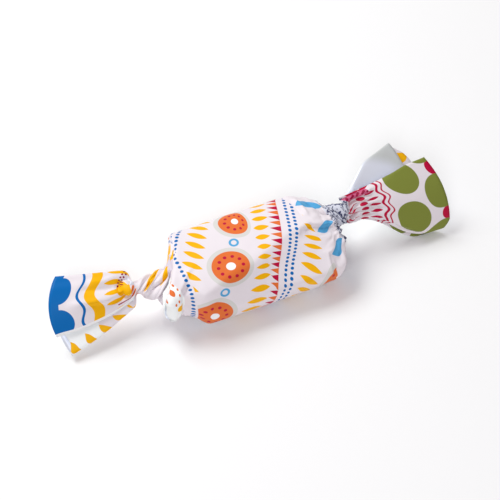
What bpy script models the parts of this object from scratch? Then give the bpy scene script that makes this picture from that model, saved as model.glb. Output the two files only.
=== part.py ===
"""A twist-wrapped sweet lying on its flat underside, modelled in Blender.

One closed solid: a flat bar in a paper wrapper, gathered at both ends into a twisted neck
that opens again into a fan. Lengths below are millimetres; the mesh is written in metres.
X runs along the sweet, -Y is its near side, +Z is up, and the origin is the middle of the
flat spot that it rests on.
"""
import bpy
import numpy as np

MM = 0.001

# The bar inside the wrapper: a rounded block, its section a superellipse.
BAR_HALF_WIDTH = 12.2
BAR_HALF_HEIGHT = 7.6
BAR_SQUARENESS = 2.9
REST_SPOT_DEPTH = 0.12      # how deep the rounded underside is pressed flat

# The sheet: u runs along it from the left end, v runs across it.
SHEET_WIDTH = 70.0
SHEET_OVERLAP = 5.0
FAN_LEFT = 23.0
SHOULDER_LEFT = 16.5
BAR_WRAP = 36.5
SHOULDER_RIGHT = 9.6
FAN_RIGHT = 27.0
FAN_THICKNESS = 0.5

# The two necks, where the gathered sheet is tied by its twist.
NECK_RADIUS = 2.5
NECK_LEFT = np.array([-29.9, 0.6, 9.4])
NECK_RIGHT = np.array([21.8, 1.5, 10.5])
TWIST_LEFT = -290.0         # degrees from the bar to the fan
TWIST_RIGHT = -225.0
TWIST_LEFT_START = 6.5      # paper from the left neck to where its twist starts, and the
TWIST_LEFT_PAPER = 11.5     # length of paper that it takes up
TWIST_RIGHT_REACH = 4.0
PLEATS_LEFT = 4
PLEATS_RIGHT = 8
PLEAT_SEED = 5

# Fans: the direction that each one points in, and the direction of its upper edge.
FAN_LEFT_AXIS, FAN_LEFT_UP = (-20.5, 0.6, -1.6), (0.0, 0.80, 0.60)
FAN_RIGHT_AXIS, FAN_RIGHT_UP = (23.0, -1.0, -1.2), (0.0, 0.62, 0.785)
FOLDS_LEFT = (0.0, 14.5, 34.5)            # v of the free edge, top fold and lower fold
FOLDS_RIGHT = (0.0, 18.5, 43.0, 54.0)     # v of the free edge, lower fold, top fold and cut

# How the bar's ends are wrapped.
SLANT_LEFT = 7.0            # how much further left the near part of the left edge lies
SLANT_RIGHT = 6.2           # how far the right end's upper far side is drawn in
THROAT_LEFT = 5.0           # paper from the left neck to where the shoulder turns up
CONE_SIDE = np.radians(-53.0)   # the section angle that the left shoulder's cone faces
CONE_SHARE = 0.88
EAR_SIDE = -45.0            # the dog-ear at the left end's near lower corner: degrees round
EAR_HEIGHT = 1.5            # the section, how far it stands out and how far it points left
EAR_REACH = 1.2
END_CUT_LEFT = 0.40         # how far the near underside is drawn in at each end
END_CUT_RIGHT = 0.11
LEFT_END_SHIFT = 2.3        # how far the bar's left end is pushed in from the neck

# The paper's ridge, which runs slantwise over the top: x and y at its ends. A flat slope falls
# from it to the near side.
RIDGE_LEFT = (-18.0, -10.0)
RIDGE_RIGHT = (11.0, -1.2)
SLOPE_FOOT = 0.8            # height of the slope's lower edge above the bar's middle

SIDES = 48                  # points round each ring of the body

U_NECK_L = FAN_LEFT
U_BAR_L = U_NECK_L + SHOULDER_LEFT
U_BAR_R = U_BAR_L + BAR_WRAP
U_NECK_R = U_BAR_R + SHOULDER_RIGHT
U_END = U_NECK_R + FAN_RIGHT


def ramp(x, start, end):
    """A smooth step from 0 at start to 1 at end."""
    t = np.clip((x - start) / (end - start), 0.0, 1.0)
    return t * t * (3.0 - 2.0 * t)


def tent(x):
    """1 at zero, falling in straight lines to 0 at -1 and 1."""
    return np.clip(1.0 - np.abs(x), 0.0, 1.0)


def smaller(a, b, blend):
    """The smaller of a and b, with a soft change-over."""
    return 0.5 * (a + b - np.sqrt((a - b) ** 2 + blend ** 2))


def soft_ramp(x, blend):
    """0 below zero and x above it, with a rounded corner."""
    return 0.5 * (x + np.sqrt(x * x + blend * blend))


def soft_step(x, blend):
    """0 below zero and 1 above it, with a soft change-over."""
    return 0.5 * (1.0 + x / np.sqrt(x * x + blend * blend))


def wave(turn, seed, count):
    """Smooth values between 0 and 1 round a circle, one random value for each of count stretches."""
    values = np.random.default_rng(seed).random(count)
    place = (turn % 1.0) * count
    cell = np.floor(place).astype(int)
    share = ramp(place - cell, 0.0, 1.0)
    return values[cell % count] * (1.0 - share) + values[(cell + 1) % count] * share


# ---------------------------------------------------------------- body and necks

def meridian(u):
    """x of the wrapper at station u, and how far it has opened: 0 at a neck, 1 on the bar.

    Both come from walking along the sheet with a heading: straight at the necks and on the
    bar, and steep on the two shoulders.
    """
    walk = np.linspace(U_NECK_L - 10.0, U_NECK_R + 10.0, 5000)
    throat = ramp(walk, U_NECK_L + THROAT_LEFT, U_NECK_L + THROAT_LEFT + 2.0)
    rise = (np.radians(14) * (ramp(walk, U_NECK_L + 0.5, U_NECK_L + 2.0) - throat)
            + np.radians(76) * (throat - ramp(walk, U_BAR_L - 0.8, U_BAR_L + 0.5)))
    fall = np.radians(74) * (ramp(walk, U_BAR_R - 1.2, U_BAR_R + 1.8)
                             - ramp(walk, U_NECK_R - 2.0, U_NECK_R - 0.5))
    x = np.cumsum(np.cos(rise + fall))
    opening = np.cumsum(np.sin(rise))
    closing = np.cumsum(np.sin(fall))
    share = opening / opening[-1] - closing / closing[-1]
    x_left, x_right = np.interp([U_NECK_L, U_NECK_R], walk, x)
    x = NECK_LEFT[0] + (x - x_left) * (NECK_RIGHT[0] - NECK_LEFT[0]) / (x_right - x_left)
    return np.interp(u, walk, x), np.clip(np.interp(u, walk, share), 0.0, 1.0)


def superellipse(angle, half_width, half_height, power):
    """Section point at an angle: 0 is the near side, 90 degrees the top."""
    c, s = np.cos(angle), np.sin(angle)
    return (-half_width * np.sign(c) * np.abs(c) ** (2.0 / power),
            half_height * np.sign(s) * np.abs(s) ** (2.0 / power))


def even_angles(count):
    """Angles that space count points evenly round the bar's section, from its underside."""
    fine = np.linspace(-0.5 * np.pi, 1.5 * np.pi, 4001)
    y, z = superellipse(fine, BAR_HALF_WIDTH, BAR_HALF_HEIGHT, BAR_SQUARENESS)
    arc = np.concatenate([[0.0], np.cumsum(np.hypot(np.diff(y), np.diff(z)))])
    return np.interp(np.arange(count) / count * arc[-1], arc, fine)


def twist_at(u):
    """Degrees that the sheet has turned at station u, counted from the bar."""
    left = np.clip((U_NECK_L + TWIST_LEFT_START - u) / TWIST_LEFT_PAPER, 0.0, 1.0)
    right = ramp(u, U_NECK_R - TWIST_RIGHT_REACH, U_NECK_R + TWIST_RIGHT_REACH)
    return TWIST_LEFT * left + TWIST_RIGHT * right


def pleat_depth(turn, pleats, opened, half_width, half_height):
    """How far skewed pleats draw a ring in: as deep as the spare paper asks at a neck, and gone
    on the bar."""
    phase = (turn + 0.5 / pleats * (wave(turn, PLEAT_SEED, pleats) - 0.5)) * pleats % 1.0
    groove = np.where(phase < 0.7, (phase / 0.7) ** 2.2, (1.0 - phase) / 0.3)
    around = 2.0 * np.pi * np.sqrt(0.5 * (half_width ** 2 + half_height ** 2))
    spare = np.clip((SHEET_WIDTH - SHEET_OVERLAP - around) / 16.0, 0.0, None)
    return np.minimum(spare, 0.4 * NECK_RADIUS + 2.0 * opened) * groove * (1.0 - opened) ** 2


def slanted(u, v):
    """Station along the meridian for a point of the sheet, and how far it is moved left: the
    near part of the bar's left edge lies further left, so its shoulder is shorter."""
    moved = SLANT_LEFT * ramp(v, 0.0, 12.0) * ramp(v, 42.0, 22.0)
    throat = U_NECK_L + THROAT_LEFT
    share = (u - throat) / (U_BAR_L - moved - throat)
    station = np.where(share < 1.0, throat + share * (U_BAR_L - throat), u + moved)
    station = np.where(u < throat, u, station)
    return station, moved * np.clip(share, 0.0, 1.0)


def near_slope(x, y, z):
    """How much a section point keeps of its distance from the middle where the flat slope on
    the near side cuts it."""
    share = np.clip((x - RIDGE_LEFT[0]) / (RIDGE_RIGHT[0] - RIDGE_LEFT[0]), 0.0, 1.0)
    ridge_y = RIDGE_LEFT[1] + (RIDGE_RIGHT[1] - RIDGE_LEFT[1]) * share
    side = np.abs(ridge_y / BAR_HALF_WIDTH) ** BAR_SQUARENESS
    ridge_z = BAR_HALF_HEIGHT * (1.0 - side) ** (1.0 / BAR_SQUARENESS)
    out_y, out_z = SLOPE_FOOT - ridge_z, ridge_y + BAR_HALF_WIDTH
    limit = out_y * ridge_y + out_z * ridge_z
    return smaller(1.0, limit / np.maximum(out_y * y + out_z * z, 0.5 * limit), 0.05)


def coned(angle, station, x, opened):
    """x and opening of the left shoulder where its near lower part runs straight from the neck
    to the bar's edge, as a cone. The rest stays pushed in flat against the bar's end."""
    edge = U_BAR_L + 0.5
    share = np.clip((station - U_NECK_L) / (edge - U_NECK_L), 0.0, 1.0)
    lean = CONE_SHARE * ramp(np.cos(angle - CONE_SIDE), -0.2, 0.9) * (station < edge)
    cone_x = NECK_LEFT[0] + (meridian(edge)[0] - NECK_LEFT[0]) * share
    return x + (cone_x - x) * lean, opened + (share - opened) * lean


def body_rings(u):
    """Rings of the body at stations u: superellipses that shrink to round, twisted necks.

    The near side is a flat slope under a slantwise ridge, the near underside is drawn in at
    both ends, the left shoulder is a cone on its near lower side with a dog-ear of folded
    paper standing out of it, and both ends are slanted.
    """
    turn = np.arange(SIDES) / SIDES
    u = u[:, None] + 0.0 * turn
    middle = 0.5 * (U_BAR_L + U_BAR_R)
    right = ramp(u, middle - 6.0, middle + 6.0)
    station, moved = slanted(u, turn * (SHEET_WIDTH - SHEET_OVERLAP))
    x, opened = meridian(np.where(u < middle, station, u))
    plain = 2.0 * np.pi * (turn - 0.25)
    angle = plain + (even_angles(SIDES) - plain) * ramp(opened, 0.05, 0.8) + np.radians(twist_at(u))
    x, opened = coned(angle, np.where(u < middle, station, U_BAR_R), x, opened)
    x = x - np.where(u < middle, moved, 0.0)
    half_width = NECK_RADIUS + (BAR_HALF_WIDTH - NECK_RADIUS) * opened
    half_height = NECK_RADIUS + (BAR_HALF_HEIGHT - NECK_RADIUS) * opened
    power = 2.0 + (BAR_SQUARENESS - 2.0) * ramp(opened, 0.2, 0.95)
    y, z = superellipse(angle, half_width, half_height, power)
    depth = np.where(u < middle, pleat_depth(turn, PLEATS_LEFT, opened, half_width, half_height),
                     pleat_depth(turn, PLEATS_RIGHT, opened, half_width, half_height))
    keep = 1.0 - depth / np.hypot(y, z)
    y, z = y * keep, z * keep
    keep = near_slope(x, y * BAR_HALF_WIDTH / half_width, z * BAR_HALF_HEIGHT / half_height)
    keep = 1.0 - (1.0 - keep) * ramp(opened, 0.1, 0.7)
    y, z = y * keep, z * keep

    lift = (0.81 * y + 0.58 * z) / BAR_HALF_WIDTH
    high = np.clip(0.5 + 0.5 * lift, 0.0, 1.2)
    low = np.clip(0.5 - 0.5 * lift, 0.0, 1.2)
    cut = (END_CUT_RIGHT * ramp(u, U_BAR_R - 7.0, U_BAR_R + 1.0)
           + END_CUT_LEFT * ramp(u, U_BAR_L + 1.2, U_BAR_L - 4.5) * ramp(opened, 0.45, 0.9))
    around = np.degrees(np.arctan2(z / BAR_HALF_HEIGHT, -y / BAR_HALF_WIDTH))
    ear = tent((around - EAR_SIDE) / 30.0) * tent((opened - 0.55) / 0.30) * (1.0 - right)
    keep = 1.0 - cut * low ** 2 * opened + EAR_HEIGHT * ear / np.maximum(np.hypot(y, z), 3.0)
    y, z = y * keep, z * keep

    x = x - SLANT_RIGHT * high ** 1.5 * opened * ramp(u, U_BAR_R - 26.0, U_BAR_R + 3.0)
    upper = 0.9 * high * ramp(opened, 0.06, 0.3) * ramp(opened, 1.0, 0.5)
    x = x + (LEFT_END_SHIFT * opened + upper) * (1.0 - right) - EAR_REACH * ear
    y = y + (NECK_LEFT[1] + (NECK_RIGHT[1] - NECK_LEFT[1]) * right) * (1.0 - opened)
    neck_height = NECK_LEFT[2] + (NECK_RIGHT[2] - NECK_LEFT[2]) * right
    z = z + BAR_HALF_HEIGHT + (neck_height - BAR_HALF_HEIGHT) * (1.0 - opened)
    z = np.maximum(z - REST_SPOT_DEPTH, 0.0)
    return np.stack([x, y, z], -1)


def fan_frame(axis, up):
    """Unit vectors along the fan, towards its upper edge, and towards its front."""
    axis = np.array(axis) / np.linalg.norm(axis)
    up = np.array(up) - np.dot(up, axis) * axis
    up = up / np.linalg.norm(up)
    front = np.cross(up, axis)
    return axis, up, front if front[1] < 0 else -front


def root_rings(neck, axis, up, twist, sections):
    """Flattening rings that carry the body on into a fan's root. A section is (along, half
    height, half thickness, rise)."""
    axis, up, front = fan_frame(axis, up)
    plain = 2.0 * np.pi * (np.arange(SIDES) / SIDES - 0.25) + np.radians(twist)
    turned = plain - (np.pi - np.arctan2(up[2], up[1]))
    rings = []
    for along, half_height, half_thickness, rise in sections:
        centre = neck + along * axis + rise * up - np.array([0.0, 0.0, REST_SPOT_DEPTH])
        rings.append(centre + half_height * np.cos(turned)[:, None] * up
                     - half_thickness * np.sin(turned)[:, None] * front)
    return np.array(rings)


def loft(name, rings):
    """A closed mesh through rings of equal length, with a fan of triangles on each end."""
    count, sides = rings.shape[:2]
    points = np.concatenate([rings.reshape(-1, 3), rings[:1].mean(1), rings[-1:].mean(1)]) * MM
    faces = []
    for i in range(count - 1):
        for j in range(sides):
            k = (j + 1) % sides
            faces.append((i * sides + k, i * sides + j, (i + 1) * sides + j, (i + 1) * sides + k))
    first, last = count * sides, count * sides + 1
    for j in range(sides):
        k = (j + 1) % sides
        faces.append((first, j, k))
        faces.append((last, (count - 1) * sides + k, (count - 1) * sides + j))
    mesh = bpy.data.meshes.new(name)
    mesh.from_pydata(points.tolist(), [], faces)
    return mesh


# ---------------------------------------------------------------- fans

def folded(v, folds, heights, blend):
    """Height across a fan, walking over a sheet that turns back at each fold."""
    slopes = [(heights[k + 1] - heights[k]) / (folds[k + 1] - folds[k]) for k in range(len(folds) - 1)]
    height = heights[0] + slopes[0] * (v - folds[0])
    for k in range(1, len(slopes)):
        height = height + (slopes[k] - slopes[k - 1]) * soft_ramp(v - folds[k], blend)
    return height


def placed(neck, frame, reach, height, depth):
    """Fan point at a reach from the neck, a height off the fan's middle line and a depth."""
    axis, up, front = frame
    along = np.sqrt(np.maximum(reach ** 2 - height ** 2, (0.10 * reach) ** 2))
    point = neck + along[..., None] * axis + height[..., None] * up + depth[..., None] * front
    return point - np.array([0.0, 0.0, REST_SPOT_DEPTH])


def left_fan(rho, v):
    """Left fan: a front layer up from its free edge to the top fold, and a longer one down
    behind it to the lower fold."""
    edge, top, bottom = FOLDS_LEFT
    share = np.clip((v - edge) / (top - edge), 0.0, 1.0)
    behind = np.clip((v - top) / (bottom - top), 0.0, 1.0)
    length = np.where(v < top, 1.013 - 0.117 * share ** 2.2, 0.896 + 0.1 * behind)
    reach = rho * (1.0 + (length - 1.0) * ramp(rho, 3.0, 20.0))
    upper = smaller(reach, 4.35 + 0.28 * reach, 0.5)
    lower = -smaller(0.98 * reach, 1.8 + 0.5 * reach - 0.006 * reach ** 2, 0.5)
    free = -4.9 * (1.0 - np.exp(-reach / 7.5)) + 0.5 * ramp(reach, 17.0, 23.0)
    height = folded(v, FOLDS_LEFT, [free, upper, lower], 0.9)
    gap = 0.55 + 0.45 * ramp(reach, 4.0, 23.0)
    depth = gap * (1.0 - 2.2 * soft_step(v - top, 0.7))
    depth = depth + 1.4 * np.sin(np.pi * share) * ramp(v, 14.0, 11.0) * ramp(reach, 2.0, 12.0)
    return placed(NECK_LEFT, fan_frame(FAN_LEFT_AXIS, FAN_LEFT_UP), reach, height, depth)


def right_fan(rho, v):
    """Right fan: a front layer down to the lower fold, a taller one up behind it that leans
    back, and a third folded down behind that."""
    edge, bottom, top, cut = FOLDS_RIGHT
    length = np.interp(v, [0.0, 15.0, 18.5, 21.0, 37.0, 43.0, 45.0, 46.5, 49.0],
                       [0.94, 1.05, 1.0, 0.92, 0.80, 0.835, 0.825, 0.905, 0.88])
    reach = rho * (1.0 + (length - 1.0) * ramp(rho, 2.0, 18.0))
    front_top = (smaller(1.15 * reach, 3.85 + 0.205 * reach, 0.8)
                 + 0.35 * np.exp(-((reach - 20.5) / 3.0) ** 2))
    lower = -(smaller(1.2 * reach, 2.6, 0.6) + 9.8 * ramp(reach, 5.6, 24.5))
    back_top = smaller(0.80 * reach + 0.4, 9.6 + 0.155 * reach, 1.2)
    blend = 1.0 + 1.5 * ramp(reach, 10.0, 27.0) * ramp(v, 30.0, 22.0)
    height = folded(v, FOLDS_RIGHT, [front_top, lower, back_top, 0.45 * back_top], blend)
    back = -1.0 - 0.34 * ramp(reach, 3.0, 26.0) * (height - lower)
    depth = 0.6 + (back - 0.6) * soft_step(v - bottom, 1.0) - 1.2 * soft_step(v - top, 0.7)
    share = np.clip((v - edge) / (bottom - edge), 0.0, 1.0)
    depth = depth * (0.5 + 0.5 * ramp(reach, 0.0, 5.0))
    depth = depth + 1.6 * np.sin(np.pi * share) * ramp(reach, 2.0, 14.0)
    return placed(NECK_RIGHT, fan_frame(FAN_RIGHT_AXIS, FAN_RIGHT_UP), reach, height, depth)


def across(folds):
    """Values of v from the first fold to the last: about a step apart, and closer where the
    sheet turns back."""
    step = 2.6
    values = [np.array([folds[0], folds[-1]])]
    for fold in folds[1:-1]:
        values.append(fold + np.array([-1.5, -0.9, -0.4, 0.0, 0.4, 0.9, 1.5]))
    for low, high in zip(folds[:-1], folds[1:]):
        values.append(np.linspace(low, high, int((high - low) / step) + 1)[1:-1])
    v = np.unique(np.concatenate(values))
    keep = [v[0]]
    for value in v[1:]:
        near_fold = np.min(np.abs(np.array(folds[1:-1]) - value)) < 1.6
        if value - keep[-1] > (0.3 if near_fold else 0.9):
            keep.append(value)
    return np.array(keep)


def sheet(name, points):
    """An open mesh over a grid of points."""
    rows, columns = points.shape[:2]
    index = np.arange(rows * columns).reshape(rows, columns)
    faces = np.stack([index[:-1, :-1], index[1:, :-1], index[1:, 1:], index[:-1, 1:]], -1)
    mesh = bpy.data.meshes.new(name)
    mesh.from_pydata((points.reshape(-1, 3) * MM).tolist(), [], faces.reshape(-1, 4).tolist())
    return mesh


def add_object(name, mesh, collection):
    """An object for a mesh, linked to a collection."""
    piece = bpy.data.objects.new(name, mesh)
    collection.objects.link(piece)
    return piece


def wrapper_paper():
    """Printed waxed paper: white with a faint lilac cast, half matt."""
    paper = bpy.data.materials.new("printed_wrapper")
    paper.use_nodes = True
    shader = paper.node_tree.nodes["Principled BSDF"]
    shader.inputs["Base Color"].default_value = (0.84, 0.78, 0.82, 1.0)
    shader.inputs["Roughness"].default_value = 0.45
    shader.inputs["Metallic"].default_value = 0.0
    return paper


def build():
    """The whole sweet as one object."""
    for old in list(bpy.data.objects):
        bpy.data.objects.remove(old)
    sweet = bpy.data.collections.new("twist_wrapped_sweet")
    fans = bpy.data.collections.new("fan_sheets")
    bpy.context.scene.collection.children.link(sweet)
    bpy.context.scene.collection.children.link(fans)

    stations = np.concatenate([
        np.arange(U_NECK_L, U_NECK_L + 10.0, 0.7),
        np.linspace(U_NECK_L + 10.3, U_BAR_L + 2.0, 9),
        np.linspace(U_BAR_L + 6.0, U_BAR_R - 4.0, 6),
        np.linspace(U_BAR_R - 1.5, U_NECK_R - 0.2, 15)])
    body = body_rings(stations)
    left = root_rings(NECK_LEFT, FAN_LEFT_AXIS, FAN_LEFT_UP, twist_at(U_NECK_L),
                      [(8.0, 1.0, 0.5, 0.6), (6.0, 2.6, 0.9, 0.6), (3.5, 3.6, 1.3, 0.7), (1.5, 3.4, 1.9, 0.5)])
    right = root_rings(NECK_RIGHT, FAN_RIGHT_AXIS, FAN_RIGHT_UP, twist_at(U_NECK_R),
                       [(1.5, 4.2, 2.4, 0.4), (3.0, 4.3, 2.0, 0.4), (5.2, 2.6, 1.1, 0.8), (7.2, 1.0, 0.5, 0.8)])
    core = add_object("wrapped_sweet", loft("wrapped_sweet", np.concatenate([left, body, right])), sweet)
    core.data.materials.append(wrapper_paper())

    for name, shape, length, folds in (("left_fan", left_fan, FAN_LEFT, FOLDS_LEFT),
                                       ("right_fan", right_fan, FAN_RIGHT, FOLDS_RIGHT)):
        rho = np.concatenate([[1.2, 2.0, 3.0, 4.0, 5.2, 6.6, 8.4, 10.6], np.linspace(13.0, length, 6)])
        v = across(folds)
        piece = add_object(name, sheet(name, shape(rho[:, None], v[None, :])), fans)
        wall = piece.modifiers.new("wall", "SOLIDIFY")
        wall.thickness = FAN_THICKNESS * MM
        wall.offset = 0.0
        piece.hide_render = True
        piece.display_type = "WIRE"

    join = core.modifiers.new("join_fans", "BOOLEAN")
    join.operation = "UNION"
    join.operand_type = "COLLECTION"
    join.collection = fans
    join.solver = "EXACT"
    core.data.shade_smooth()
    return core


build()
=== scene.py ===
"""A twist-wrapped sweet, dressed: one printed sheet of metal-backed paper round a flat bar,
gathered at both ends into a twisted neck and a folded fan of spare paper.

The sheet is worked out in millimetres. u runs along the paper from its left end, v runs
across it from its lower seam edge, and both are also the coordinates that its print follows.
"""

import bpy
import numpy as np
from mathutils import Matrix, Vector


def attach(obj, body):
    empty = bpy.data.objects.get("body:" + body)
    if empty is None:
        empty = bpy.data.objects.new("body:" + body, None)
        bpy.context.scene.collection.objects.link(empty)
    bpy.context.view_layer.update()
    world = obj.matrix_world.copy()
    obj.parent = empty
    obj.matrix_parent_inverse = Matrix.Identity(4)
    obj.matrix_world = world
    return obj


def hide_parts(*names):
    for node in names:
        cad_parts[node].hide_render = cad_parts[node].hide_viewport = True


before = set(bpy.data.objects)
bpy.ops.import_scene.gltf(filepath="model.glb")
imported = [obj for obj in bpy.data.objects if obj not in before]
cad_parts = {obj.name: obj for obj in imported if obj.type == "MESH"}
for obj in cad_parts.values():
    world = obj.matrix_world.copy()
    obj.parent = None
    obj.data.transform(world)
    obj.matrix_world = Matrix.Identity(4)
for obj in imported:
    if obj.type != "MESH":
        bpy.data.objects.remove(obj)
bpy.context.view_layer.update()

scene = bpy.context.scene
MM = 0.001

# ---------------------------------------------------------------- the wrapped bar
# The bar's wrap: waxed paper, printed outside and metallised inside, drawn tight round a flat
# rectangular bar and overlapped along the underside. Its ends are pushed in against the bar
# and gathered, with a dog-ear left standing at the near lower corner of the left end.

SHEET_WIDTH = 70.0
FAN_LEFT = 23.0  # paper beyond the left neck
SHOULDER_LEFT = 16.5  # paper from the left neck to the bar
BAR_WRAP = 36.5
SHOULDER_RIGHT = 9.6
FAN_RIGHT = 27.0
U_NECK_L = FAN_LEFT
THROAT_L = U_NECK_L + 5.0  # where the left neck opens into its shoulder
U_BAR_L = U_NECK_L + SHOULDER_LEFT
U_BAR_R = U_BAR_L + BAR_WRAP
U_NECK_R = U_BAR_R + SHOULDER_RIGHT
SHEET_LENGTH = U_NECK_R + FAN_RIGHT

BAR_HALF_WIDTH, BAR_HALF_HEIGHT, BAR_SQUARENESS = 12.2, 7.6, 2.9
REST_SPOT_DEPTH = 0.12  # the rounded underside is pressed flat by this much
OVERLAP = 5.0
NECK_RADIUS = 2.5
NECK_LEFT = np.array([-29.9, 0.6, 9.4])
NECK_RIGHT = np.array([21.8, 1.5, 10.5])


def ramp(x, start, end):
    """A smooth step from 0 at start to 1 at end: 3t^2 - 2t^3 of the share t between them."""
    t = np.clip((x - start) / (end - start), 0.0, 1.0)
    return t * t * (3.0 - 2.0 * t)


def window(x, start, full, last, end):
    """1 from full to last, with a smooth step up from 0 at start and one down to 0 at end."""
    return ramp(x, start, full) * ramp(x, end, last)


def tent(x):
    """1 at zero, falling in straight lines to 0 at -1 and 1."""
    return np.clip(1.0 - np.abs(x), 0.0, 1.0)


def smaller(a, b, blend):
    """The smaller of a and b, with a soft change-over: (a + b - sqrt((a-b)^2 + blend^2)) / 2."""
    return 0.5 * (a + b - np.sqrt((a - b) ** 2 + blend ** 2))


def wave(turn, seed, count):
    """Smooth values between 0 and 1 round a circle, one random value for each of count stretches."""
    values = np.random.default_rng(seed).random(count)
    place = (turn % 1.0) * count
    cell = np.floor(place).astype(int)
    share = ramp(place - cell, 0.0, 1.0)
    return values[cell % count] * (1.0 - share) + values[(cell + 1) % count] * share


def meridian(u):
    """x of the wrap at station u, and how far it has opened: 0 at a neck, 1 on the bar.

    Both are the summed cosine and sine of the sheet's heading, which is level at the necks and
    on the bar and steep on the two shoulders.
    """
    walk = np.linspace(U_NECK_L - 10.0, U_NECK_R + 10.0, 8000)
    throat = ramp(walk, THROAT_L, THROAT_L + 2.0)
    rise = (np.radians(14) * (ramp(walk, U_NECK_L + 0.5, U_NECK_L + 2.0) - throat)
            + np.radians(76) * (throat - ramp(walk, U_BAR_L - 0.8, U_BAR_L + 0.5)))
    fall = np.radians(74) * (ramp(walk, U_BAR_R - 1.2, U_BAR_R + 1.8)
                             - ramp(walk, U_NECK_R - 2.0, U_NECK_R - 0.5))
    x = np.cumsum(np.cos(rise + fall))
    opening = np.cumsum(np.sin(rise))
    closing = np.cumsum(np.sin(fall))
    share = opening / opening[-1] - closing / closing[-1]
    x_left, x_right = np.interp([U_NECK_L, U_NECK_R], walk, x)
    x = NECK_LEFT[0] + (x - x_left) * (NECK_RIGHT[0] - NECK_LEFT[0]) / (x_right - x_left)
    return np.interp(u, walk, x), np.clip(np.interp(u, walk, share), 0.0, 1.0)


def superellipse(angle, half_width, half_height, power):
    """Section point at an angle: 0 is the near side, 90 degrees the top. Each coordinate is its
    half size times the cosine or sine raised to 2 / power."""
    c, s = np.cos(angle), np.sin(angle)
    return (-half_width * np.sign(c) * np.abs(c) ** (2.0 / power),
            half_height * np.sign(s) * np.abs(s) ** (2.0 / power))


def angle_at(v):
    """The bar section's angle that a point of the sheet comes to, by arc length from the seam."""
    fine = np.linspace(-0.5 * np.pi, 1.5 * np.pi + 0.6, 6001)
    y, z = superellipse(fine, BAR_HALF_WIDTH, BAR_HALF_HEIGHT, BAR_SQUARENESS)
    arc = np.concatenate([[0.0], np.cumsum(np.hypot(np.diff(y), np.diff(z)))])
    return np.interp(v, arc, fine)


TWIST_LEFT, TWIST_RIGHT = -290.0, -225.0  # degrees from the bar to the fan
LEFT_SLANT = 7.0  # how much further left the near part of the bar's left edge lies
SLANT_RIGHT = 6.2  # how far the right end's upper far side is drawn in


def pleat_depth(turn, pleats, opened, half_width, half_height):
    """How far the gathered sheet is drawn in at a turn round the neck.

    Each pleat is a slow rise and a quick fall over its share of the turn, with its own width
    and depth. It is as deep as the spare paper asks, a little deeper where pleats are few, and
    runs out on the shoulder.
    """
    phase = (turn + 0.5 / pleats * (wave(turn, 5, pleats) - 0.5)) * pleats % 1.0
    groove = np.where(phase < 0.78, (phase / 0.78) ** 2.2, ((1.0 - phase) / 0.22) ** 1.2)
    around = 2.0 * np.pi * np.sqrt(0.5 * (half_width ** 2 + half_height ** 2))
    spare = np.clip((SHEET_WIDTH - OVERLAP - around) / 16.0, 0.0, None)
    depth = np.minimum(spare, 0.55 * np.minimum(half_width, half_height))
    depth = depth * (0.3 / np.sqrt(pleats) + 1.0 - 0.3 * ramp(opened, 0.1, 0.5))
    fade = (1.0 - opened) ** (0.6 + 0.9 * np.clip(0.65 - 1.3 * wave(turn, 9, pleats), 0.0, 1.0))
    return depth * groove * fade * (0.55 + 0.75 * wave(turn, 12, pleats))


RIDGE_LEFT = (-18.0, -10.0)  # x and y of the ridge between top and near slope
RIDGE_RIGHT = (11.0, -1.2)
SLOPE_FOOT = 0.8  # height of the slope's lower edge above the bar's middle
RIDGE_BLEND = 0.05


def near_slope(x, y, z):
    """How far a section point is drawn in by the flat slope on the near side.

    The paper is pulled into a ridge that runs slantwise over the top, from the left end's near
    corner to the right neck. From it a flat slope falls to the bar's near side.
    """
    share = np.clip((x - RIDGE_LEFT[0]) / (RIDGE_RIGHT[0] - RIDGE_LEFT[0]), 0.0, 1.0)
    ridge_y = RIDGE_LEFT[1] + (RIDGE_RIGHT[1] - RIDGE_LEFT[1]) * share
    side = np.abs(ridge_y / BAR_HALF_WIDTH) ** BAR_SQUARENESS
    ridge_z = BAR_HALF_HEIGHT * (1.0 - side) ** (1.0 / BAR_SQUARENESS)
    out_y, out_z = SLOPE_FOOT - ridge_z, ridge_y + BAR_HALF_WIDTH
    limit = out_y * ridge_y + out_z * ridge_z
    ratio = limit / np.maximum(out_y * y + out_z * z, 0.5 * limit)
    return smaller(1.0, ratio, RIDGE_BLEND)


def slanted(u, v):
    """Station along the meridian for a point of the sheet, and how far it is moved left.

    The near part of the bar's left edge lies further left, so its shoulder is shorter: the
    stretch from the throat to the edge is shared out over the usual shoulder's stations.
    """
    moved = LEFT_SLANT * window(v, 0.0, 12.0, 22.0, 42.0)
    share = (u - THROAT_L) / (U_BAR_L - moved - THROAT_L)
    station = np.where(share < 1.0, THROAT_L + share * (U_BAR_L - THROAT_L), u + moved)
    station = np.where(u < THROAT_L, u, station)
    return station, moved * np.clip(share, 0.0, 1.0)


CONE_SIDE = np.radians(-62.0)  # the section angle that the left shoulder's cone faces
CONE_SHARE = 0.95


def coned(angle, station, x, opened):
    """x and opening of the left shoulder where its near lower part runs straight from the neck
    to the bar's edge, as a cone. The rest stays pushed in flat against the bar's end."""
    edge = U_BAR_L + 0.5
    share = np.clip((station - U_NECK_L) / (edge - U_NECK_L), 0.0, 1.0)
    lean = CONE_SHARE * ramp(np.cos(angle - CONE_SIDE), -0.2, 0.9) * (station < edge)
    cone_x = NECK_LEFT[0] + (meridian(edge)[0] - NECK_LEFT[0]) * share
    return x + (cone_x - x) * lean, opened + (share - opened) * lean


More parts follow.
